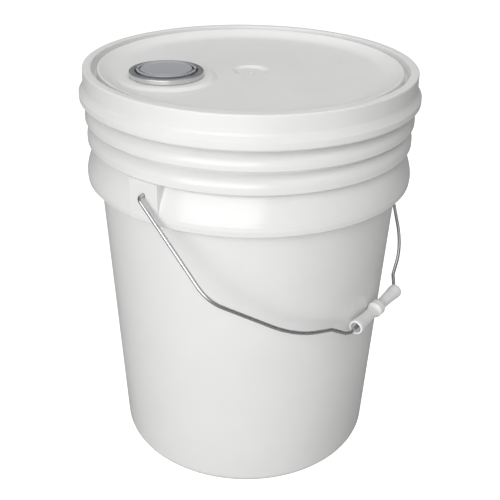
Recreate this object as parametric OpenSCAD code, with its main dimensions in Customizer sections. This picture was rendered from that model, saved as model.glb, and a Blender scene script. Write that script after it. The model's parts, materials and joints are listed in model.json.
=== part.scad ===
// Round open-head pail with a push-on lid, a pull-up pouring spout in the lid and a wire
// bail with a moulded hand grip. Millimetres, +Z up. The origin is the centre of the base,
// on the floor. The bail pivots along X and rests against the wall on the -Y side.

/* [Pail] */
// Outer radius of the wall just above the base corner
base_r = 128.2; // [125:0.1:130]
// Outer radius of the base corner
base_corner_r = 9; // [7:0.5:11]
// Outer radius of the wall at the lower edge of the handle band
wall_top_r = 141; // [140.5:0.1:141.5]
// Thickness of the wall and the stacking rings
wall_t = 2.2; // [1.9:0.1:2.4]
// Height of the rim of the pail
rim_z = 382; // [382:382]
// Outer radius of the upper stacking ring
ring_1_r = 151.2; // [149:0.1:152]
// Outer radius of the middle stacking ring
ring_2_r = 150.3; // [148.5:0.1:151]
// Largest outer radius of the handle band, the lowest ring
band_r = 152.6; // [151.5:0.1:153]

/* [Ears] */
// Width of the flat ear that carries the bail
ear_w = 30; // [26:1:34]
// Distance of the flat face of an ear from the pail's axis
ear_x = 151.9; // [151.5:0.1:152.5]
// Height of the bail's pivot axis above the floor
pivot_z = 308; // [306:0.5:309]

/* [Lid] */
// Height of the top of the lid's rim
crown_z = 386; // [386:386]
// Height of the flat panel of the lid
panel_z = 378.3; // [378:0.1:378.5]
// Thickness of the lid
lid_t = 1.9; // [1.7:0.1:2]
// Radius of the flat part of the panel
panel_r = 117; // [112:1:122]

/* [Spout] */
// Distance of the spout's axis from the lid's axis
spout_off = 79; // [72:0.5:80]
// Direction of the spout seen from the lid's axis, in degrees from +X
spout_az = 145; // [120:1:240]
// Direction of the hinge line of the two pull tabs, in degrees from +X
tab_az = 124.4; // [0:0.1:180]
// Radius of the disc on top of the cap
cap_r = 22.8; // [22.6:0.1:23]
// Outer radius of the ring that clamps the spout to the lid
clamp_r = 32.9; // [32.7:0.1:33.5]

/* [Bail] */
// Diameter of the bail wire
wire_d = 3.4; // [3.2:0.1:3.8]
// Distance from the pivot axis to the axis of the hand grip
reach = 197.5; // [196:0.5:198.5]
// Radius of the long bends of the wire
bow_r = 112; // [60:1:118]
// Length of the hand grip
grip_len = 83; // [78:1:84]
// Radius of the collar in the middle of the hand grip
grip_r = 7.5; // [7.2:0.1:8]

/* [Hidden] */
$fn = 96;
eps = 0.01;
white = [0.93, 0.93, 0.92];
grey = [0.55, 0.56, 0.58];

// ---- pail ----
band_edge_z = 283.8;
wall_slope = (wall_top_r - base_r) / (band_edge_z - base_corner_r);
foot_in_r = 112;
foot_h = 3;
floor_t = 2.4;
floor_z = foot_h + floor_t;
neck_z = 357;
neck_run = 2;
rim_out_r = 148.4;
rim_in_r = 144.5;
rim_neck_r = 146.6;
rim_round = 1.2;
rim_in_h = 16;
bead_h = 7.5;
bead_slope = 2;
fit_gap = 0.3;
// Heights of the top, the widest point and the lower edge of each ring
ring_1_zs = [355, 344, 339.8];
ring_2_zs = [336, 325, 319.8];
band_zs = [318, 289, band_edge_z];
band_tuck = 0.4;
ring_edge_cut = 0.8;
// Depth that the rings, webs and ears reach into the wall
ring_root = 1.9;
web_count = 18;
web_w = 8.2;
web_t = 1.8;
web_h = 15;
function wall_r(z) = base_r + (z - base_corner_r) * wall_slope;
function arc(c, r, a0, a1, n = 8) =
    [for (i = [0:n]) let (a = a0 + (a1 - a0) * i / n) [c[0] + r * cos(a), c[1] + r * sin(a)]];
function reversed(list) = [for (i = [len(list) - 1:-1:0]) list[i]];

// ---- ears ----
ear_low_z = 284.4;
ear_high_z = 320.4;
ear_root_x = 140.6;
ear_wall = 2;
ear_panel_t = 2.2;
wire_r = wire_d / 2;
hole_r = wire_r + fit_gap;
hole_len = 15;

// ---- lid ----
skirt_edge_z = 358.5;
skirt_r = 155;
crown_r = 150.8;
crown_in_r = 142.9;
groove_out_r = 141.5;
leg_out_r = rim_in_r - fit_gap;
channel_r = 149.2;
snap_r = rim_out_r + 0.35;
ridge_r = 137;
ridge_z = 384;
groove_z = 376;
dimple_r = 17;
dimple_depth = 1.6;
dimple_slope = 5;
nub_pos = [-5.5, -4.4];
nub_r = 1.3;
nub_drop = 0.2;

// ---- spout, cap and tabs ----
spout_pos = [spout_off * cos(spout_az), spout_off * sin(spout_az), 0];
boss_r = 46;
boss_top_r = 41;
boss_z = 380.2;
// How far the boss and the collar reach down into the panel, and the boss's extra width there
boss_root = 1;
boss_flare = 1.3;
collar_in_r = 28.6;
collar_out_r = 31.3;
collar_z = 383.4;
clamp_in_r = 27.2;
clamp_z = 385;
clamp_t = 0.9;
sleeve_in_r = 27;
sleeve_t = 1.2;
sleeve_fold_r = 3;
pleat_count = 2;
flange_t = 0.6;
neck_low_z = 358;
neck_top_z = 381.5;
neck_in_r = 17.5;
neck_out_r = 20.2;
neck_foot_r = 22.5;
thread_h = 1.1;
thread_pitch = 4;
thread_turns = 3;
thread_root = 1.2;
thread_crest = 0.3;
thread_bite = 0.5;
liner_r = 20.6;
liner_gap = 0.1;
cap_top_z = 386.7;
cap_under_z = 383.4;
cap_skirt_in_r = 21.9;
cap_skirt_out_r = 23.6;
cap_skirt_z = 366;
cap_round = 0.7;
cap_rim_w = 2.6;
cap_dish = 0.5;
tab_in_r = 24.1;
tab_out_r = 26.3;
tab_low_z = 385.2;
tab_high_z = 386.4;
tab_hinge_off = 2.8;
tab_end_angle = 7;
lug_w = 2.2;
lug_h = 4.4;
lug_drop = 2.6;

// ---- bail ----
leg_top_x = 158.4;
leg_low_x = 162.8;
leg_low_v = 101;
bow_u = 103.3;
bow_v = reach - 29.7;
grip_shift = 7.5;
hook_x = 146.6;
hook_len = 6;
grip_end_r = 6.8;
grip_waist_r = 5.2;
grip_wall_gap = 0.3;
wire_sides = 12;
bend_step = 12;
// Angle of the hanging bail from straight down, with the grip's collar just off the wall
cone_a = atan(wall_slope);
rest_need = (grip_r + grip_wall_gap) / cos(cone_a) + wall_r(pivot_z);
rest_tilt = asin(rest_need * cos(cone_a) / reach) - cone_a;

// A ring that flares out from the wall and hangs down as a thin skirt, open below.
// The flare is rounder the larger its power is.
module flared_ring(zs, max_r, edge_r, power) {
    root_r = wall_r(zs[0]) - wall_t / 2;
    fall = zs[0] - zs[1];
    steps = 8;
    outer = [for (i = [0:steps]) let (s = i / steps)
        [root_r + (max_r - root_r) * (1 - pow(1 - s, power)), zs[0] - fall * s]];
    inner = [for (i = [0:steps]) let (s = i / steps)
        [root_r + (max_r - wall_t - root_r) * (1 - pow(1 - s, power)), zs[0] - wall_t - fall * s]];
    rotate_extrude($fn = 144) polygon(concat(outer,
        [[edge_r, zs[2] + ring_edge_cut], [edge_r - ring_edge_cut, zs[2]],
         [edge_r - wall_t, zs[2]]],
        reversed(inner)));
}

// Thin webs that tie the handle band to the wall
module band_webs() {
    web_low_z = band_edge_z + 2;
    for (i = [0:web_count - 1]) rotate(360 / web_count * (i + 0.5))
        translate([wall_r(web_low_z) - wall_t / 2, -web_t / 2, web_low_z])
            cube([web_w, web_t, web_h]);
}

module ear_block() {
    translate([ear_root_x, -ear_w / 2, ear_low_z])
        cube([ear_x - ear_root_x, ear_w, ear_high_z - ear_low_z]);
}

// The hollow behind an ear, open below, in which the bent end of the wire turns
module ear_pocket() {
    translate([ear_root_x - 1, -ear_w / 2 + ear_wall, ear_low_z - 3])
        cube([ear_x - ear_panel_t - ear_root_x + 1, ear_w - 2 * ear_wall,
              ear_high_z - ear_low_z - ear_wall + 3]);
}

module pail_shell() {
    corner = arc([base_r - base_corner_r, base_corner_r], base_corner_r, -90, 0);
    in_r = base_corner_r - 1.5;
    floor_r = wall_r(floor_z + in_r) - wall_t;
    in_corner = arc([floor_r - in_r, floor_z + in_r], in_r, 0, -90);
    rotate_extrude($fn = 144) polygon(concat(
        [[0, foot_h], [foot_in_r - foot_h, foot_h], [foot_in_r, 0]],
        corner,
        [[wall_r(neck_z - neck_run), neck_z - neck_run], [rim_neck_r, neck_z + neck_run],
         [rim_neck_r, rim_z - bead_h - bead_slope], [rim_out_r, rim_z - bead_h]],
        arc([rim_out_r - rim_round, rim_z - rim_round], rim_round, 0, 90, 5),
        arc([rim_in_r + rim_round, rim_z - rim_round], rim_round, 90, 180, 5),
        [[rim_in_r, rim_z - rim_in_h], [wall_r(neck_z) - wall_t, neck_z]],
        in_corner,
        [[0, floor_z]]));
}

module pail_body() color(white) union() {
    pail_shell();
    difference() {
        union() {
            flared_ring(ring_1_zs, ring_1_r, ring_1_r, 2);
            flared_ring(ring_2_zs, ring_2_r, ring_2_r, 2);
            flared_ring(band_zs, band_r, band_r - band_tuck, 1.6);
            band_webs();
            for (side = [0, 180]) rotate(side) ear_block();
        }
        for (side = [0, 180]) rotate(side) {
            ear_pocket();
            translate([ear_root_x, 0, pivot_z]) rotate([0, 90, 0]) cylinder(r = hole_r, h = hole_len);
        }
        translate([0, 0, band_edge_z - 5])
            cylinder(r1 = wall_r(band_edge_z) - ring_root, r2 = wall_r(ring_1_zs[0]) - ring_root,
                     h = ring_1_zs[0] - band_edge_z + 6, $fn = 144);
    }
}

// Height of the lid's top between the flat panel and the ridge round it
function slope_z(r, base) = base + (ridge_z - panel_z) * pow((r - panel_r) / (ridge_r - 1 - panel_r), 2);

module lid_shell() {
    steps = 8;
    radii = [for (i = [0:steps]) panel_r + (ridge_r - 1 - panel_r) * i / steps];
    top_slope = [for (r = radii) [r, slope_z(r, panel_z)]];
    low_slope = [for (r = radii) [r, slope_z(r, panel_z - lid_t)]];
    rotate_extrude($fn = 144) polygon(concat(
        [[0, panel_z]],
        top_slope,
        arc([ridge_r - 0.2, ridge_z - 1], 1, 80, 0, 4),
        [[ridge_r + 1.4, groove_z + 1.5]],
        arc([ridge_r + 2.9, groove_z + 1.5], 1.5, 180, 270, 4),
        arc([groove_out_r - 1.5, groove_z + 1.5], 1.5, 270, 350, 4),
        arc([crown_in_r + 1.2, crown_z - 1.2], 1.2, 170, 90, 4),
        arc([crown_r - 1.4, crown_z - 1.4], 1.4, 90, 0, 5),
        [[crown_r + 0.2, skirt_edge_z + 13], [crown_r + 1.1, skirt_edge_z + 10.8],
         [skirt_r, skirt_edge_z + 6.2], [skirt_r, skirt_edge_z + 1.2],
         [skirt_r - 0.7, skirt_edge_z], [skirt_r - lid_t, skirt_edge_z],
         [skirt_r - lid_t, skirt_edge_z + 5.4], [channel_r + 0.8, skirt_edge_z + 10],
         [snap_r, skirt_edge_z + 12.3], [channel_r, skirt_edge_z + 14],
         [channel_r, crown_z - 2], [leg_out_r, crown_z - 2],
         [leg_out_r, groove_z], [leg_out_r - 1.6, groove_z - lid_t],
         [ridge_r, groove_z - lid_t], [ridge_r - 0.7, groove_z + 2]],
        reversed(low_slope),
        [[0, panel_z - lid_t]]));
}

module lid_boss() {
    translate([0, 0, panel_z - boss_root]) {
        cylinder(r1 = boss_r + boss_flare, r2 = boss_top_r, h = boss_z - panel_z + boss_root);
        cylinder(r = collar_out_r, h = collar_z - panel_z + boss_root);
    }
}

module lid() color(white) difference() {
    union() {
        lid_shell();
        translate(spout_pos) lid_boss();
        translate([0, 0, panel_z - lid_t - dimple_depth + 0.3])
            cylinder(r1 = dimple_r + 1 - dimple_slope, r2 = dimple_r + 1, h = dimple_depth);
    }
    translate(spout_pos) {
        translate([0, 0, panel_z - 20]) cylinder(r = collar_in_r, h = 40);
        difference() {
            translate([0, 0, panel_z - lid_t - eps])
                cylinder(r1 = boss_r - 0.6, r2 = boss_top_r - 1.6, h = boss_z - panel_z);
            cylinder(r = collar_out_r, h = 400);
        }
    }
    difference() {
        translate([0, 0, panel_z - dimple_depth])
            cylinder(r1 = dimple_r - dimple_slope, r2 = dimple_r, h = dimple_depth + eps);
        translate([nub_pos[0], nub_pos[1], 0]) cylinder(r = nub_r, h = panel_z - nub_drop);
    }
}

module lid_gasket() color([0.25, 0.25, 0.26]) rotate_extrude()
    translate([rim_in_r + 0.2, rim_z + fit_gap]) square([4.1, crown_z - 2 - rim_z - fit_gap]);

module spout_crimp_ring() color([0.45, 0.46, 0.48]) translate(spout_pos) rotate_extrude() {
    skirt_in_r = collar_out_r + fit_gap;
    skirt_z = boss_z + 0.3;
    polygon(concat(
        [[clamp_in_r, clamp_z - clamp_t], [skirt_in_r, clamp_z - clamp_t],
         [skirt_in_r, skirt_z], [clamp_r, skirt_z]],
        arc([clamp_r - 1.1, clamp_z - 1.1], 1.1, 0, 90, 5),
        arc([clamp_in_r + 0.4, clamp_z - 0.4], 0.4, 90, 180, 3)));
}

// Folded sleeve of the spout: flange under the clamp ring, pleats, and a web to the neck
module spout_sleeve() color(white) translate(spout_pos) {
    pleat = 1.6;
    steps = 12;
    low_z = neck_low_z + 3;
    high_z = panel_z - 5;
    fold = [sleeve_in_r + sleeve_t - sleeve_fold_r, low_z];
    wave = [for (i = [0:steps]) let (s = i / steps)
        [sleeve_in_r + pleat * (1 - cos(360 * pleat_count * s)) / 2, high_z + (low_z - high_z) * s]];
    outer = concat([[collar_out_r, collar_z + flange_t], [collar_out_r, collar_z],
                    [sleeve_in_r + sleeve_t, collar_z]],
                   [for (p = wave) [p[0] + sleeve_t, p[1]]],
                   arc(fold, sleeve_fold_r, 0, -90, 4),
                   [[neck_foot_r, neck_low_z], [neck_foot_r, neck_low_z + sleeve_t]]);
    inner = concat(reversed(arc(fold, sleeve_fold_r - sleeve_t, 0, -90, 4)), reversed(wave),
                   [[sleeve_in_r, collar_z + flange_t]]);
    rotate_extrude() polygon(concat(outer, inner));
}

module spout_neck() color(white) translate(spout_pos) {
    rotate_extrude() polygon(concat(
        [[neck_in_r, neck_low_z], [neck_foot_r, neck_low_z],
         [neck_foot_r, neck_low_z + sleeve_t + 0.4], [neck_out_r, neck_low_z + sleeve_t + 1.4],
         [neck_out_r, neck_top_z - 0.5], [neck_out_r - 0.5, neck_top_z], [neck_in_r, neck_top_z]]));
    for (i = [1:thread_turns]) translate([0, 0, neck_top_z - thread_pitch * i])
        rotate_extrude() polygon([[neck_out_r - thread_bite, -thread_root], [neck_out_r, -thread_root],
            [neck_out_r + thread_h, -thread_crest], [neck_out_r + thread_h, thread_crest],
            [neck_out_r, thread_root], [neck_out_r - thread_bite, thread_root]]);
}

// Tear-out membrane that seals a new spout, with its finger ring
module spout_seal() color(white) translate(spout_pos) {
    seal_z = 371.5;
    ring_z = seal_z + 4;
    translate([0, 0, seal_z]) cylinder(r = neck_in_r - 0.05, h = 0.8);
    translate([0, 0, ring_z]) rotate_extrude() translate([10, 0]) circle(r = 1.3, $fn = 24);
    translate([8.9, -1.5, seal_z]) cube([2.2, 3, 3.6]);
}

module cap_liner() color([0.85, 0.85, 0.84]) translate(spout_pos)
    translate([0, 0, neck_top_z + liner_gap])
        cylinder(r = liner_r, h = cap_under_z - neck_top_z - liner_gap);

module spout_cap() color(grey) translate(spout_pos) {
    rotate_extrude() polygon(concat(
        [[0, cap_under_z], [cap_skirt_in_r, cap_under_z], [cap_skirt_in_r, cap_skirt_z],
         [cap_skirt_out_r, cap_skirt_z], [cap_skirt_out_r, cap_under_z], [cap_r, cap_under_z + 0.4]],
        arc([cap_r - cap_round, cap_top_z - cap_round], cap_round, 0, 90, 4),
        [[cap_r - cap_rim_w, cap_top_z], [cap_r - cap_rim_w - 0.6, cap_top_z - cap_dish],
         [0, cap_top_z - cap_dish]]));
    rotate(tab_az) for (side = [0, 180]) rotate(side)
        translate([cap_skirt_out_r - 1, -lug_w / 2, cap_under_z - lug_drop])
            cube([tab_out_r - cap_skirt_out_r + 1, lug_w, lug_h]);
}

// One of the two half-ring tabs that lie round the cap and fold up to pull the spout out
module pull_tab(side) color(grey) translate(spout_pos) rotate(tab_az + side) {
    rotate([0, 0, tab_end_angle]) rotate_extrude(angle = 180 - 2 * tab_end_angle)
        translate([tab_in_r, tab_low_z]) square([tab_out_r - tab_in_r, tab_high_z - tab_low_z]);
    for (end = [-1, 1]) translate([end > 0 ? tab_in_r : -tab_out_r, tab_hinge_off, 0])
        translate([0, 0, (tab_low_z + tab_high_z) / 2]) rotate([0, 90, 0])
            cylinder(d = tab_high_z - tab_low_z, h = tab_out_r - tab_in_r, $fn = 32);
}

module pull_tab_front() pull_tab(0);
module pull_tab_back() pull_tab(180);

// ---- bail: a flat path (u along the pivot axis, v away from it) with rounded corners ----
half_path = [
    // [u, v, corner radius]
    [-hook_x, -hook_len, 0],
    [-hook_x, 0, 2.4],
    [-leg_top_x, 0, 4.5],
    [-leg_low_x, leg_low_v, 35],
    [-bow_u, bow_v, bow_r],
    [-grip_len / 2 - 20, reach - 13.3, 8],
    [-grip_len / 2 - 7.5, reach - 2.3, 4],
    [-grip_len / 2 - 1, reach, 4]];
wire_path = concat(half_path, [for (p = reversed(half_path)) [-p[0], p[1], p[2]]]);
function flat(p) = [p[0], p[1]];
function unit(p) = p / norm(p);
function heading(p) = atan2(p[1], p[0]);
// Signed turn at corner i, and the length that its bend takes off each side
function turn(i) = let (
    a = heading(flat(wire_path[i]) - flat(wire_path[i - 1])),
    b = heading(flat(wire_path[i + 1]) - flat(wire_path[i])))
    b - a > 180 ? b - a - 360 : b - a < -180 ? b - a + 360 : b - a;
function trim(i) = (i == 0 || i == len(wire_path) - 1) ? 0 : wire_path[i][2] * tan(abs(turn(i)) / 2);

// Points [u, v, heading] along bend i, about one every bend_step degrees
function bend_points(i) = let (
    corner = flat(wire_path[i]),
    before = unit(corner - flat(wire_path[i - 1])),
    side = turn(i) > 0 ? 1 : -1,
    radius = wire_path[i][2],
    centre = corner - before * trim(i) + [-before[1], before[0]] * side * radius,
    from = heading(before) - 90 * side,
    steps = max(3, ceil(abs(turn(i)) / bend_step)))
    [for (k = [0:steps]) let (a = from + turn(i) * k / steps)
        [centre[0] + radius * cos(a), centre[1] + radius * sin(a), a + 90 * side]];
last = len(wire_path) - 1;
centre_line = concat(
    [[-hook_x, -hook_len, 90]],
    [for (i = [1:last - 1]) each bend_points(i)],
    [[hook_x, -hook_len, -90]]);

// Sweeps the round section of the wire along the flat path
module wire_sweep() {
    rings = len(centre_line);
    points = [for (p = centre_line) for (k = [0:wire_sides - 1]) let (a = 360 * k / wire_sides)
        [p[0] - wire_r * cos(a) * sin(p[2]), p[1] + wire_r * cos(a) * cos(p[2]), wire_r * sin(a)]];
    sides = [for (i = [0:rings - 2]) for (k = [0:wire_sides - 1])
        let (n = (k + 1) % wire_sides, a = i * wire_sides, b = a + wire_sides)
        [a + k, a + n, b + n, b + k]];
    first = [for (k = [wire_sides - 1:-1:0]) k];
    end = [for (k = [0:wire_sides - 1]) (rings - 1) * wire_sides + k];
    polyhedron(points, concat(sides, [first, end]), convexity = 8);
}

// Turns the flat path (x = u, y = v) into the hanging rest position
module hang() translate([0, 0, pivot_z]) rotate([-90 - rest_tilt, 0, 0]) children();

module bail_wire() color([0.72, 0.73, 0.74]) hang() wire_sweep();

module bail_grip() color(white) hang() translate([grip_shift, reach, 0]) rotate([0, 90, 0]) {
    half = grip_len / 2;
    bore = wire_r + 0.08;
    pocket_r = 5;
    pocket_len = 14;
    // Outline of one half, from the middle collar to the open end
    side = concat([[grip_r, 0], [grip_r, 3.5], [grip_r - 0.8, 4.6]],
        [for (i = [0:8]) let (s = i / 8) [grip_waist_r + 1.5 - 1.5 * sin(90 * s), 5 + 8 * s]],
        [for (i = [1:6]) let (s = i / 6)
            [grip_waist_r + (grip_end_r - grip_waist_r) * s * s, 13 + (half - 16) * s]],
        [[grip_end_r, half - 0.8], [grip_end_r - 0.8, half],
         [pocket_r, half], [pocket_r, half - pocket_len], [bore, half - pocket_len - 1.5]]);
    rotate_extrude() polygon(concat(side, [for (p = reversed(side)) if (p[1] > 0) [p[0], -p[1]]]));
}

pail_body();
lid();
lid_gasket();
spout_crimp_ring();
spout_sleeve();
spout_neck();
spout_seal();
cap_liner();
spout_cap();
pull_tab_front();
pull_tab_back();
bail_wire();
bail_grip();
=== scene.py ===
import json
import math
import bmesh
import bpy
from mathutils import Matrix, Vector


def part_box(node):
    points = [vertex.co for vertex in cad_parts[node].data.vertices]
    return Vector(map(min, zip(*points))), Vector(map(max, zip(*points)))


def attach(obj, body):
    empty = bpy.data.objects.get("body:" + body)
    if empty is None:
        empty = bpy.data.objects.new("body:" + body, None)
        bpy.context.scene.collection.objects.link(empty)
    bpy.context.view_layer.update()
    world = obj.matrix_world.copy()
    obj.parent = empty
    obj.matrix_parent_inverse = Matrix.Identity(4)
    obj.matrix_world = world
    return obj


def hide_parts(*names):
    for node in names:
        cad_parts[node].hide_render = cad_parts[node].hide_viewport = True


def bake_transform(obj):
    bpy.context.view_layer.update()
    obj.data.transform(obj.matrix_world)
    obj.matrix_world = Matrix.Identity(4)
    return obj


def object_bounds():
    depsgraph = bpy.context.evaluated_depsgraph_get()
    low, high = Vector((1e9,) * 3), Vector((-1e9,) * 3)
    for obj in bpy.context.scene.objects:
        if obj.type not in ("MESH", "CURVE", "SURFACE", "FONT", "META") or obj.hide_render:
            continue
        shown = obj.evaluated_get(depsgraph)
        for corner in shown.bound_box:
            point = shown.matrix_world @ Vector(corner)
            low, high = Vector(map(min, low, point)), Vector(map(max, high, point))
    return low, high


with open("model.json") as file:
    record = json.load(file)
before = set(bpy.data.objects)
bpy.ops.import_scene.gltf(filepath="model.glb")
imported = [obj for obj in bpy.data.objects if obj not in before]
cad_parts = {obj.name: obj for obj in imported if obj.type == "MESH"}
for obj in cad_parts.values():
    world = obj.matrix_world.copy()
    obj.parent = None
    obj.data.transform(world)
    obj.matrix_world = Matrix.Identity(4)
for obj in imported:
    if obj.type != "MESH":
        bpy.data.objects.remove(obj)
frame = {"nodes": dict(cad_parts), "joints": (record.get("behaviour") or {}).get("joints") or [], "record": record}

CAD_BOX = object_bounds()
MM = 0.001
FLOOR_GLOW = 0.97
SKY_LIGHT = 0.24
KEY_POWER = 41
TOP_POWER = 12
FILL_POWER = 5

# The spout, as the CAD places it
CAP_LOW, CAP_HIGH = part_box("spout_cap")
RING_LOW, RING_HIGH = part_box("spout_crimp_ring")
SPOUT = (RING_LOW + RING_HIGH) / 2
SPOUT_X, SPOUT_Y = SPOUT[0], SPOUT[1]
CAP_TOP = CAP_HIGH[2] / MM
TAB_LINE = math.radians(124.4)

# The bail and its grip
GRIP_LOW, GRIP_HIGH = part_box("bail_grip")
GRIP_CENTRE = (GRIP_LOW + GRIP_HIGH) / 2
BAIL_JOINT = next(joint for joint in frame["joints"] if joint["name"] == "bail_swing")
PIVOT = Vector(BAIL_JOINT["pos_m"])
REACH = math.hypot(GRIP_CENTRE[1], GRIP_CENTRE[2] - PIVOT[2]) / MM
TILT = math.atan2(-GRIP_CENTRE[1], PIVOT[2] - GRIP_CENTRE[2])
GRIP_HALF = (GRIP_HIGH[0] - GRIP_LOW[0]) / 2 / MM
GRIP_R = (GRIP_HIGH[2] - GRIP_LOW[2]) / 2 / MM
WIRE_R = 1.7


# ---------- camera ----------

CAMERA_PLACE = Vector((-0.60523, -0.41441, 0.58161))
CAMERA_HEADING = math.radians(34.206)
CAMERA_PITCH = math.radians(27.918)
CAMERA_ROLL = math.radians(1.117)
CAMERA_LENS = 58.815
SENSOR_WIDTH = 36


def make_camera():
    """A level camera, turned by its heading, pitch and roll, that looks down at the pail."""
    forward = Vector((math.cos(CAMERA_PITCH) * math.cos(CAMERA_HEADING),
                      math.cos(CAMERA_PITCH) * math.sin(CAMERA_HEADING),
                      -math.sin(CAMERA_PITCH)))
    level = Vector((math.sin(CAMERA_HEADING), -math.cos(CAMERA_HEADING), 0))
    above = level.cross(forward)
    right = level * math.cos(CAMERA_ROLL) + above * math.sin(CAMERA_ROLL)
    up = right.cross(forward)
    data = bpy.data.cameras.new("camera")
    data.lens = CAMERA_LENS
    data.sensor_width = SENSOR_WIDTH
    data.clip_start = 0.01
    camera = bpy.data.objects.new("camera", data)
    bpy.context.scene.collection.objects.link(camera)
    turn = Matrix((right, up, -forward)).transposed()
    camera.matrix_world = Matrix.Translation(CAMERA_PLACE) @ turn.to_4x4()
    bpy.context.scene.camera = camera


# ---------- material helpers ----------

def new_material(name):
    """A new material, its nodes, its links and its surface shader."""
    material = bpy.data.materials.new(name)
    material.use_nodes = True
    nodes = material.node_tree.nodes
    shader = nodes["Principled BSDF"]
    return material, nodes, material.node_tree.links, shader


def noise_node(nodes, links, coords, scale, detail=4.0, roughness=0.55, stretch=None):
    """Fractal noise, stretched by the factors in stretch where they are given."""
    texture = nodes.new("ShaderNodeTexNoise")
    texture.inputs["Scale"].default_value = scale
    texture.inputs["Detail"].default_value = detail
    texture.inputs["Roughness"].default_value = roughness
    if stretch:
        mapping = nodes.new("ShaderNodeMapping")
        mapping.inputs["Scale"].default_value = stretch
        links.new(coords, mapping.inputs["Vector"])
        coords = mapping.outputs["Vector"]
    links.new(coords, texture.inputs["Vector"])
    return texture.outputs["Fac"]


def ramp_node(nodes, links, value, stops):
    """Colours between the (place, colour) stops."""
    ramp = nodes.new("ShaderNodeValToRGB")
    elements = ramp.color_ramp.elements
    while len(elements) < len(stops):
        elements.new(0.5)
    for element, (place, colour) in zip(elements, stops):
        element.position = place
        element.color = (*colour, 1)
    links.new(value, ramp.inputs["Fac"])
    return ramp.outputs["Color"]


def range_node(nodes, links, value, low, high, out_low, out_high):
    """Maps low..high to out_low..out_high and clamps it there."""
    convert = nodes.new("ShaderNodeMapRange")
    for socket, number in zip(("From Min", "From Max", "To Min", "To Max"),
                              (low, high, out_low, out_high)):
        convert.inputs[socket].default_value = number
    links.new(value, convert.inputs["Value"])
    return convert.outputs["Result"]


def bump_node(nodes, links, height, distance, strength, normal=None):
    """Surface relief from a height, on top of an earlier relief where one is given."""
    bump = nodes.new("ShaderNodeBump")
    bump.inputs["Distance"].default_value = distance
    bump.inputs["Strength"].default_value = strength
    links.new(height, bump.inputs["Height"])
    if normal:
        links.new(normal, bump.inputs["Normal"])
    return bump.outputs["Normal"]


def mix_node(nodes, links, share, first, second):
    """Blends two colours; second may be a socket or a plain colour."""
    mix = nodes.new("ShaderNodeMix")
    mix.data_type = "RGBA"
    links.new(share, mix.inputs["Factor"])
    links.new(first, mix.inputs["A"])
    if isinstance(second, tuple):
        mix.inputs["B"].default_value = (*second, 1)
    else:
        links.new(second, mix.inputs["B"])
    return mix.outputs["Result"]


def moulded_plastic(name, light, dark, roughness, scatter=0.0):
    """Moulded plastic: faint cloudy colour, uneven gloss, a fine skin texture and draw marks."""
    material, nodes, links, shader = new_material(name)
    coords = nodes.new("ShaderNodeTexCoord").outputs["Object"]
    cloud = noise_node(nodes, links, coords, 14, 5)
    colour = ramp_node(nodes, links, cloud, [(0.3, dark), (0.7, light)])
    links.new(colour, shader.inputs["Base Color"])
    gloss = noise_node(nodes, links, coords, 60, 6, 0.65)
    links.new(range_node(nodes, links, gloss, 0.3, 0.7, roughness - 0.03, roughness + 0.05),
              shader.inputs["Roughness"])
    draw_marks = noise_node(nodes, links, coords, 220, 4, 0.7, (1, 1, 0.06))
    skin = noise_node(nodes, links, coords, 900, 2)
    waves = noise_node(nodes, links, coords, 22, 2)
    normal = bump_node(nodes, links, waves, 0.0004, 0.08)
    normal = bump_node(nodes, links, draw_marks, 0.00002, 0.2, normal)
    normal = bump_node(nodes, links, skin, 0.00004, 0.5, normal)
    links.new(normal, shader.inputs["Normal"])
    shader.inputs["IOR"].default_value = 1.5
    if scatter:
        shader.inputs["Subsurface Weight"].default_value = scatter
        shader.inputs["Subsurface Radius"].default_value = (1.0, 0.9, 0.8)
        shader.inputs["Subsurface Scale"].default_value = 0.003
    return material


def drawn_wire():
    """Bright drawn steel with a fine grain and a few dull spots."""
    material, nodes, links, shader = new_material("drawn_wire")
    coords = nodes.new("ShaderNodeTexCoord").outputs["Object"]
    spots = noise_node(nodes, links, coords, 60, 3, 0.5)
    colour = ramp_node(nodes, links, spots, [(0.3, (0.50, 0.51, 0.52)), (0.6, (0.55, 0.56, 0.57))])
    links.new(colour, shader.inputs["Base Color"])
    shader.inputs["Metallic"].default_value = 1.0
    grain = noise_node(nodes, links, coords, 900, 3, 0.6)
    links.new(range_node(nodes, links, grain, 0.3, 0.7, 0.24, 0.29), shader.inputs["Roughness"])
    links.new(bump_node(nodes, links, grain, 0.000002, 0.04), shader.inputs["Normal"])
    return material


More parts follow.
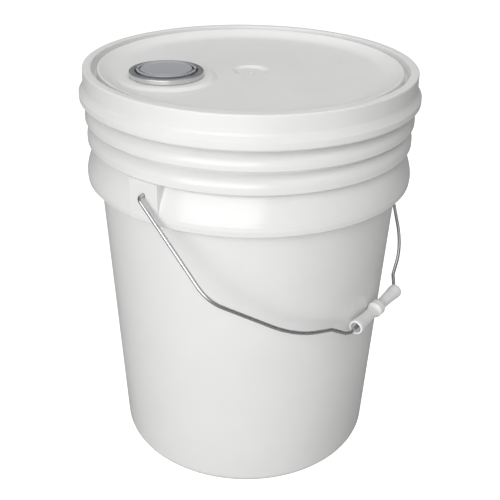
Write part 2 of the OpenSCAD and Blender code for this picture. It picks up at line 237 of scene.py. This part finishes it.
def ring_painted_light():
    """Sheet-metal ring with painted light: a dark top and a bright outer side painted as reflection, and a painted
    shadow line at the inner lip.
    """
    material, nodes, links, shader = new_material("ring_painted_light")
    coords = nodes.new("ShaderNodeTexCoord").outputs["Object"]
    wear = noise_node(nodes, links, coords, 90, 4, 0.6)
    # Painted reflection: the top faces get a dark colour and the outer side a bright one, standing in for the dark
    # surroundings and the white lid that the metal mirrors; the wear noise varies both
    top = ramp_node(nodes, links, wear, [(0.35, (0.24, 0.25, 0.26)), (0.75, (0.31, 0.32, 0.33))])
    side = ramp_node(nodes, links, wear, [(0.35, (0.62, 0.62, 0.62)), (0.75, (0.68, 0.68, 0.68))])
    split = nodes.new("ShaderNodeSeparateXYZ")
    links.new(nodes.new("ShaderNodeTexCoord").outputs["Normal"], split.inputs["Vector"])
    is_side = range_node(nodes, links, split.outputs["Z"], 0.75, 0.35, 0, 1)
    outward = nodes.new("ShaderNodeVectorMath")
    outward.operation = "MULTIPLY_ADD"
    links.new(coords, outward.inputs[0])
    outward.inputs[1].default_value = (1, 1, 0)
    outward.inputs[2].default_value = (-SPOUT_X, -SPOUT_Y, 0)
    radius = nodes.new("ShaderNodeVectorMath")
    radius.operation = "LENGTH"
    links.new(outward.outputs["Vector"], radius.inputs[0])
    is_outer = range_node(nodes, links, radius.outputs["Value"], 0.0306, 0.0316, 0, 1)
    both = nodes.new("ShaderNodeMath")
    both.operation = "MULTIPLY"
    links.new(is_side, both.inputs[0])
    links.new(is_outer, both.inputs[1])
    # Painted reflection: the face direction and the radius choose between the dark top colour and the bright side
    # colour
    painted_reflection_colour = mix_node(nodes, links, both.outputs["Value"], top, side)
    # Painted shadow: a near-black line at the ring's inner lip, where the pull tabs shade the ring top
    lip_shadow_mask = range_node(nodes, links, radius.outputs["Value"], 0.0276, 0.0284, 1, 0)
    links.new(mix_node(nodes, links, lip_shadow_mask, painted_reflection_colour, (0.05, 0.05, 0.05)), shader.inputs["Base Color"])
    shader.inputs["Metallic"].default_value = 0.6
    links.new(range_node(nodes, links, wear, 0.3, 0.7, 0.27, 0.37), shader.inputs["Roughness"])
    links.new(bump_node(nodes, links, wear, 0.00004, 0.2), shader.inputs["Normal"])
    return material


def dark_rubber():
    """Mottled black rubber of the gasket."""
    material, nodes, links, shader = new_material("dark_rubber")
    coords = nodes.new("ShaderNodeTexCoord").outputs["Object"]
    mottle = noise_node(nodes, links, coords, 300, 5, 0.7)
    colour = ramp_node(nodes, links, mottle, [(0.3, (0.02, 0.02, 0.02)), (0.7, (0.05, 0.05, 0.05))])
    links.new(colour, shader.inputs["Base Color"])
    shader.inputs["Roughness"].default_value = 0.7
    links.new(bump_node(nodes, links, mottle, 0.0001, 0.5), shader.inputs["Normal"])
    return material


def liner_foam():
    """Off-white foam with small cells."""
    material, nodes, links, shader = new_material("liner_foam")
    coords = nodes.new("ShaderNodeTexCoord").outputs["Object"]
    cells = noise_node(nodes, links, coords, 1500, 3, 0.7)
    colour = ramp_node(nodes, links, cells, [(0.3, (0.70, 0.70, 0.68)), (0.7, (0.82, 0.82, 0.80))])
    links.new(colour, shader.inputs["Base Color"])
    shader.inputs["Roughness"].default_value = 0.85
    links.new(bump_node(nodes, links, cells, 0.0002, 0.6), shader.inputs["Normal"])
    return material


MATERIALS = {
    "pail_plastic": moulded_plastic("pail_plastic", (0.84, 0.84, 0.83), (0.81, 0.81, 0.80), 0.20, 0.04),
    "lid_plastic": moulded_plastic("lid_plastic", (0.84, 0.84, 0.83), (0.80, 0.80, 0.79), 0.38, 0.15),
    "grip_plastic": moulded_plastic("grip_plastic", (0.95, 0.95, 0.94), (0.92, 0.92, 0.91), 0.30, 0.15),
    "spout_plastic": moulded_plastic("spout_plastic", (0.90, 0.90, 0.88), (0.85, 0.85, 0.83), 0.34, 0.15),
    "cap_plastic": moulded_plastic("cap_plastic", (0.42, 0.43, 0.45), (0.38, 0.39, 0.41), 0.32),
    "ring_metal": ring_painted_light(),
    "wire_steel": drawn_wire(),
    "gasket_rubber": dark_rubber(),
    "liner_foam": liner_foam(),
}
SLOT_OF = {part["node"]: part["material_slot"] for part in frame["record"]["subparts"]}


def dress_cad():
    """Gives every carried-over CAD node the material of its slot."""
    for node, obj in frame["nodes"].items():
        obj.data.materials.clear()
        obj.data.materials.append(MATERIALS[SLOT_OF[node]])


# ---------- mesh helpers ----------

def rounded(points, steps=6):
    """Replaces each (a, b, radius) corner of an open outline by an arc; radius 0 keeps it sharp."""
    result = []
    for i, point in enumerate(points):
        corner = Vector(point[:2])
        radius = point[2] if len(point) > 2 else 0
        if not radius or i in (0, len(points) - 1):
            result.append(corner)
            continue
        before = (Vector(points[i - 1][:2]) - corner).normalized()
        after = (Vector(points[i + 1][:2]) - corner).normalized()
        half = before.angle(after) / 2
        centre = corner + (before + after).normalized() * radius / math.sin(half)
        start = corner + before * radius / math.tan(half) - centre
        end = corner + after * radius / math.tan(half) - centre
        sweep = math.atan2(start.cross(end), start.dot(end))
        for k in range(steps + 1):
            a = sweep * k / steps
            turned = Vector((start.x * math.cos(a) - start.y * math.sin(a),
                             start.x * math.sin(a) + start.y * math.cos(a)))
            result.append(centre + turned)
    return result


def finish_mesh(name, bm, slot, sharp=math.radians(38)):
    """Turns a bmesh in millimetres into an object with smooth faces and sharp corners."""
    bmesh.ops.remove_doubles(bm, verts=bm.verts, dist=0.0005)
    bmesh.ops.recalc_face_normals(bm, faces=bm.faces)
    for face in bm.faces:
        face.smooth = True
    for edge in bm.edges:
        edge.smooth = len(edge.link_faces) == 2 and edge.calc_face_angle(0) < sharp
    bmesh.ops.scale(bm, vec=(MM, MM, MM), verts=bm.verts)
    mesh = bpy.data.meshes.new(name)
    bm.to_mesh(mesh)
    bm.free()
    mesh.materials.append(MATERIALS[slot])
    obj = bpy.data.objects.new(name, mesh)
    bpy.context.scene.collection.objects.link(obj)
    return obj


def place(bm, matrix, first=0):
    """Moves the vertices of a bmesh from number first on."""
    bm.verts.ensure_lookup_table()
    bmesh.ops.transform(bm, matrix=matrix, verts=bm.verts[first:])


def add_lathe(bm, outline, steps=160, shape=None):
    """Revolves a closed outline of (r, z) about Z. shape(r, z, angle) may change the radius."""
    rings = []
    for r, z in outline:
        ring = []
        for k in range(steps):
            a = 2 * math.pi * k / steps
            radius = shape(r, z, a) if shape else r
            ring.append(bm.verts.new((radius * math.cos(a), radius * math.sin(a), z)))
        rings.append(ring)
    for low, high in zip(rings, rings[1:] + rings[:1]):
        for k in range(steps):
            n = (k + 1) % steps
            bm.faces.new((low[k], low[n], high[n], high[k]))


def add_sweep(bm, places, section):
    """Joins copies of a section and caps both ends. places lists (centre, across, up) vectors."""
    rings = [[bm.verts.new(centre + across * a + up * b) for a, b in section]
             for centre, across, up in places]
    count = len(section)
    for low, high in zip(rings, rings[1:]):
        for k in range(count):
            n = (k + 1) % count
            bm.faces.new((low[k], low[n], high[n], high[k]))
    bm.faces.new(rings[0])
    bm.faces.new(reversed(rings[-1]))


def spout_place():
    """Shift from the origin to the spout's axis, in millimetres."""
    return Matrix.Translation((SPOUT_X / MM, SPOUT_Y / MM, 0))


# ---------- bail and grip ----------

def bail_plane(u, v, w=0.0):
    """Point of the hanging bail: u along the pivot axis, v away from it, w out of its plane."""
    down = Vector((0, -math.sin(TILT), -math.cos(TILT)))
    out = Vector((0, -math.cos(TILT), math.sin(TILT)))
    return Vector((u, 0, PIVOT[2] / MM)) + down * v + out * w


def make_wire():
    """The bent wire: hooks behind the ears, legs, bows, and the jogs that hold the grip."""
    hook_x, leg_top_x, leg_low_x, leg_low_v, bow_u = 146.6, 158.4, 162.75, 101, 103.3
    # (u, v, radius of the bend)
    half = [(-hook_x, -6), (-hook_x, 0, 2.4), (-leg_top_x, 0, 4.5), (-leg_low_x, leg_low_v, 35),
            (-bow_u, REACH - 29.7, 112), (-GRIP_HALF - 20, REACH - 13.3, 8),
            (-GRIP_HALF - 7.5, REACH - 2.3, 4), (-GRIP_HALF - 1, REACH, 4)]
    path = rounded(half + [(-p[0], *p[1:]) for p in reversed(half)], steps=14)
    places = []
    for i, point in enumerate(path):
        ahead, behind = path[min(i + 1, len(path) - 1)], path[max(i - 1, 0)]
        along = (ahead - behind).normalized()
        across = bail_plane(-along.y, along.x) - bail_plane(0, 0)
        up = bail_plane(0, 0, 1) - bail_plane(0, 0)
        places.append((bail_plane(*point), across, up))
    sides = 24
    section = [(WIRE_R * math.cos(2 * math.pi * k / sides), WIRE_R * math.sin(2 * math.pi * k / sides))
               for k in range(sides)]
    bm = bmesh.new()
    add_sweep(bm, places, section)
    wire = finish_mesh("bail_wire_drawn", bm, "wire_steel")
    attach(wire, "bail")
    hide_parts("bail_wire")


def make_grip():
    """Moulded grip: collar in the middle, waists, flared open ends and a fine mould seam."""
    bore, pocket, pocket_depth = WIRE_R + 0.1, 5.05, 14
    half = [(bore, 0), (bore, GRIP_HALF - pocket_depth), (pocket, GRIP_HALF - pocket_depth + 1.5, 1),
            (pocket, GRIP_HALF - 0.1, 0.5), (6.7, GRIP_HALF, 1.0), (6.8, GRIP_HALF - 3.5, 2),
            (5.9, GRIP_HALF - 13, 12), (5.2, 13, 6), (5.6, 7.5, 2), (6.9, 4.6, 0.8),
            (GRIP_R, 3.8, 0.6), (GRIP_R, 0)]
    outline = [tuple(p) for p in rounded(half, 5)]
    outline += [(r, -z) for r, z in reversed(outline)]

    def seam(r, z, a):
        """Two low ridges along the grip, where the halves of the mould met."""
        off = abs(math.sin(a)) * r
        outer = r > pocket + 0.3 and r < GRIP_R - 0.05
        return r + (0.14 * max(0, 1 - off / 0.5) if outer else 0)

    bm = bmesh.new()
    add_lathe(bm, outline, steps=96, shape=seam)
    place(bm, Matrix.Rotation(math.radians(90), 4, "Y"))
    place(bm, Matrix.Translation(Vector(GRIP_CENTRE) / MM))
    grip = finish_mesh("grip_moulded", bm, "grip_plastic")
    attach(grip, "grip")
    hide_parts("bail_grip")


# ---------- spout ----------

def make_crimp_ring():
    """Thin sheet-metal ring, rolled over the rim of the collar, with soft pressed edges."""
    top, low = RING_HIGH[2] / MM, RING_LOW[2] / MM
    outer = (RING_HIGH[0] - RING_LOW[0]) / 2 / MM
    outline = rounded([(31.6, low + 0.1), (outer - 0.1, low), (outer, low + 0.4, 0.3), (outer, top, 1.2),
                       (30.6, top - 0.1, 2), (28.2, top - 0.05, 1), (26.8, top - 0.3, 0.5),
                       (26.75, low + 1), (26.95, low + 1), (27.2, top - 0.95, 0.2),
                       (31.6, top - 0.9, 0.3), (31.6, low + 0.1)], 6)
    bm = bmesh.new()
    add_lathe(bm, outline[:-1])
    place(bm, spout_place())
    ring = finish_mesh("crimp_ring_pressed", bm, "ring_metal")
    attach(ring, "lid")
    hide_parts("spout_crimp_ring")


def make_cap():
    """Screw cap: dished top with a bead round it, and a ribbed skirt that hides in the spout."""
    low = CAP_LOW[2] / MM
    under, skirt_in, skirt_out, disc = 383.4, 21.9, 23.6, 22.8
    outline = rounded([(0.01, under), (skirt_in, under), (skirt_in, low), (22.4, low),
                       (skirt_out, low, 0.4), (skirt_out, 383.3), (disc, 383.7, 0.3),
                       (disc, CAP_TOP, 0.8), (21.2, CAP_TOP, 0.5), (20.6, CAP_TOP - 0.45, 0.5),
                       (0.01, CAP_TOP - 0.5)], 5)

    def ribs(r, z, a):
        on_skirt = r > 23.3 and low + 0.6 < z < 382.5
        return r - 0.35 * (0.5 + 0.5 * math.cos(60 * a)) if on_skirt else r

    bm = bmesh.new()
    fine = []
    for a, b in zip(outline, outline[1:]):
        fine.append(a)
        if abs(a[0] - skirt_out) < 0.01 and abs(b[0] - skirt_out) < 0.01:
            fine += [a.lerp(b, t) for t in (0.04, 0.08, 0.9, 0.95)]
    fine.append(outline[-1])
    add_lathe(bm, fine, steps=480, shape=ribs)
    for side in (0, math.pi):
        lug = Matrix.Translation((24.3, 0, 383.2)) @ Matrix.Diagonal((3.9, 2.2, 4.0, 1))
        turn = Matrix.Rotation(TAB_LINE + side, 4, "Z")
        block = bmesh.ops.create_cube(bm, size=1, matrix=turn @ lug)["verts"]
        edges = list({edge for vert in block for edge in vert.link_edges})
        bmesh.ops.bevel(bm, geom=edges, offset=0.3, segments=3, affect="EDGES")
    place(bm, spout_place())
    cap = finish_mesh("screw_cap_ribbed", bm, "cap_plastic")
    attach(cap, "cap")
    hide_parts("spout_cap")


def make_tab(name, node, body, side):
    """Half-ring pull tab with a rounded section and a barrel at each end."""
    low, high = (corner[2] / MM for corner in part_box(node))
    inner, outer, gap, hinge_off = 24.1, 26.3, math.radians(7), 2.8
    middle, half_w, half_h = (inner + outer) / 2, (outer - inner) / 2, (high - low) / 2
    corner = half_h * 0.7
    box = [(-half_w, -half_h), (half_w, -half_h), (half_w, half_h), (-half_w, half_h)]
    section = []
    for k, (a, b) in enumerate(box):
        centre = (a - math.copysign(corner, a), b - math.copysign(corner, b))
        for step in range(4):
            angle = math.radians(180 + 90 * k + 30 * step)
            section.append((centre[0] + corner * math.cos(angle), centre[1] + corner * math.sin(angle)))
    places = []
    steps = 72
    for k in range(steps + 1):
        a = gap + (math.pi - 2 * gap) * k / steps
        out = Vector((math.cos(a), math.sin(a), 0))
        places.append((out * middle + Vector((0, 0, (low + high) / 2)), out, Vector((0, 0, 1))))
    bm = bmesh.new()
    add_sweep(bm, places, section)
    for end in (-1, 1):
        first = len(bm.verts)
        barrel = rounded([(0.01, -half_w), (half_h, -half_w, 0.2), (half_h, half_w, 0.2), (0.01, half_w)], 3)
        add_lathe(bm, barrel, steps=32)
        seat = Matrix.Translation((end * middle, hinge_off, (low + high) / 2))
        place(bm, seat @ Matrix.Rotation(math.radians(90), 4, "Y"), first)
    place(bm, spout_place() @ Matrix.Rotation(TAB_LINE + side, 4, "Z"))
    tab = finish_mesh(name, bm, "cap_plastic")
    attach(tab, body)
    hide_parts(node)


def make_neck():
    """Neck of the spout with a real helical thread of 4 mm pitch."""
    low, high = (corner[2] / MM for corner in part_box("spout_neck"))
    bore, foot, wall = 17.5, 22.5, 20.2
    outline = rounded([(bore, low), (foot, low), (foot, low + 1.6, 0.5), (wall, low + 2.6, 0.6),
                       (wall, high, 0.5), (bore, high, 0.4), (bore, low)], 4)
    bm = bmesh.new()
    add_lathe(bm, outline[:-1])
    turns, pitch, depth, per_turn = 2.6, 4.0, 1.1, 64
    start = high - 1.6 - turns * pitch
    places = []
    for k in range(int(turns * per_turn) + 1):
        share = k / (turns * per_turn)
        a = 2 * math.pi * turns * share
        fade = min(1, 14 * share, 14 * (1 - share)) + 0.02
        out = Vector((math.cos(a), math.sin(a), 0))
        places.append((out * 20.1 + Vector((0, 0, start + pitch * turns * share)), out * fade,
                       Vector((0, 0, 1))))
    ridge = [(-0.3, -1.1), (0, -1.1), (depth, -0.3), (depth + 0.1, 0), (depth, 0.3), (0, 1.1), (-0.3, 1.1)]
    add_sweep(bm, places, ridge)
    place(bm, spout_place())
    neck = finish_mesh("neck_threaded", bm, "spout_plastic")
    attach(neck, "spout")
    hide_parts("spout_neck")


def make_sleeve():
    """Folded sleeve: flange, pleats and the web to the neck."""
    low, high = (corner[2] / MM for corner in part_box("spout_sleeve"))
    inner, wall, pleat, folds = 27.0, 1.2, 1.6, 2
    top, bottom = 373.3, low + 3
    steps = 40
    wave = [(inner + pleat * (1 - math.cos(2 * math.pi * folds * k / steps)) / 2,
             top + (bottom - top) * k / steps) for k in range(steps + 1)]
    outer = [(31.3, high), (31.3, high - 0.6), (inner + wall, high - 0.6), (inner + wall, top)]
    outer += [(r + wall, z) for r, z in wave]
    outer += [(inner + wall - 0.9, low + 1), (inner - 1.8, low), (22.5, low), (22.5, low + wall)]
    inside = [(inner - 1.8, low + wall), (inner - 0.5, low + 1.9)] + list(reversed(wave))
    inside += [(inner, top), (inner, high)]
    bm = bmesh.new()
    add_lathe(bm, outer + inside, steps=128)
    place(bm, spout_place())
    sleeve = finish_mesh("sleeve_folded", bm, "spout_plastic")
    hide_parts("spout_sleeve")
    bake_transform(sleeve)


# ---------- floor and light ----------

def seen_directly(nodes):
    """1 where the camera sees a surface itself and 0 where it only lights something else."""
    return nodes.new("ShaderNodeLightPath").outputs["Is Camera Ray"]


def make_floor():
    """A plain pale floor that looks white to the camera and sends back a softer light."""
    material, nodes, links, shader = new_material("floor")
    coords = nodes.new("ShaderNodeTexCoord").outputs["Object"]
    mottle = noise_node(nodes, links, coords, 3, 3)
    colour = ramp_node(nodes, links, mottle, [(0.3, (0.44, 0.44, 0.44)), (0.7, (0.46, 0.46, 0.46))])
    links.new(colour, shader.inputs["Base Color"])
    shader.inputs["Roughness"].default_value = 0.9
    shader.inputs["Specular IOR Level"].default_value = 0.0
    shader.inputs["Emission Color"].default_value = (1, 1, 1, 1)
    glow = range_node(nodes, links, seen_directly(nodes), 0, 1, 0, FLOOR_GLOW)
    links.new(glow, shader.inputs["Emission Strength"])
    mesh = bpy.data.meshes.new("floor")
    half = 20.0
    low = CAD_BOX[0][2] - 0.0002
    mesh.from_pydata([(-half, -half, low), (half, -half, low), (half, half, low), (-half, half, low)],
                     [], [(0, 1, 2, 3)])
    floor = bpy.data.objects.new("floor", mesh)
    floor.data.materials.append(material)
    bpy.context.scene.collection.objects.link(floor)


def area_light(name, heading, height, distance, size, power):
    """A soft box that faces the middle of the object from a heading and height in degrees."""
    data = bpy.data.lights.new(name, "AREA")
    data.shape = "RECTANGLE"
    data.size, data.size_y = size
    data.energy = power
    light = bpy.data.objects.new(name, data)
    a, e = math.radians(heading), math.radians(height)
    away = Vector((math.cos(e) * math.cos(a), math.cos(e) * math.sin(a), math.sin(e)))
    place = Vector((0, 0, 0.2)) + away * distance
    turn = (-away).to_track_quat("-Z", "Y").to_matrix().to_4x4()
    light.matrix_world = Matrix.Translation(place) @ turn
    bpy.context.scene.collection.objects.link(light)


def make_light():
    """Even studio light from all round, a large key, a lamp above and behind, and a weak fill."""
    scene = bpy.context.scene
    scene.view_settings.view_transform = "Standard"
    world = bpy.data.worlds.new("studio")
    world.use_nodes = True
    nodes, links = world.node_tree.nodes, world.node_tree.links
    background = nodes["Background"]
    background.inputs["Color"].default_value = (1, 1, 1, 1)
    strength = range_node(nodes, links, seen_directly(nodes), 0, 1, SKY_LIGHT, 1)
    links.new(strength, background.inputs["Strength"])
    scene.world = world
    area_light("key", 196, 18, 2.2, (2.2, 1.8), KEY_POWER)
    area_light("top", 40, 64, 1.8, (1.4, 1.4), TOP_POWER)
    area_light("fill", 262, 48, 2.0, (1.4, 1.4), FILL_POWER)


make_camera()
make_floor()
make_light()
dress_cad()
make_wire()
make_grip()
make_crimp_ring()
make_cap()
make_tab("pull_tab_front_rounded", "pull_tab_front", "tab_front", 0)
make_tab("pull_tab_back_rounded", "pull_tab_back", "tab_back", math.pi)
make_neck()
make_sleeve()
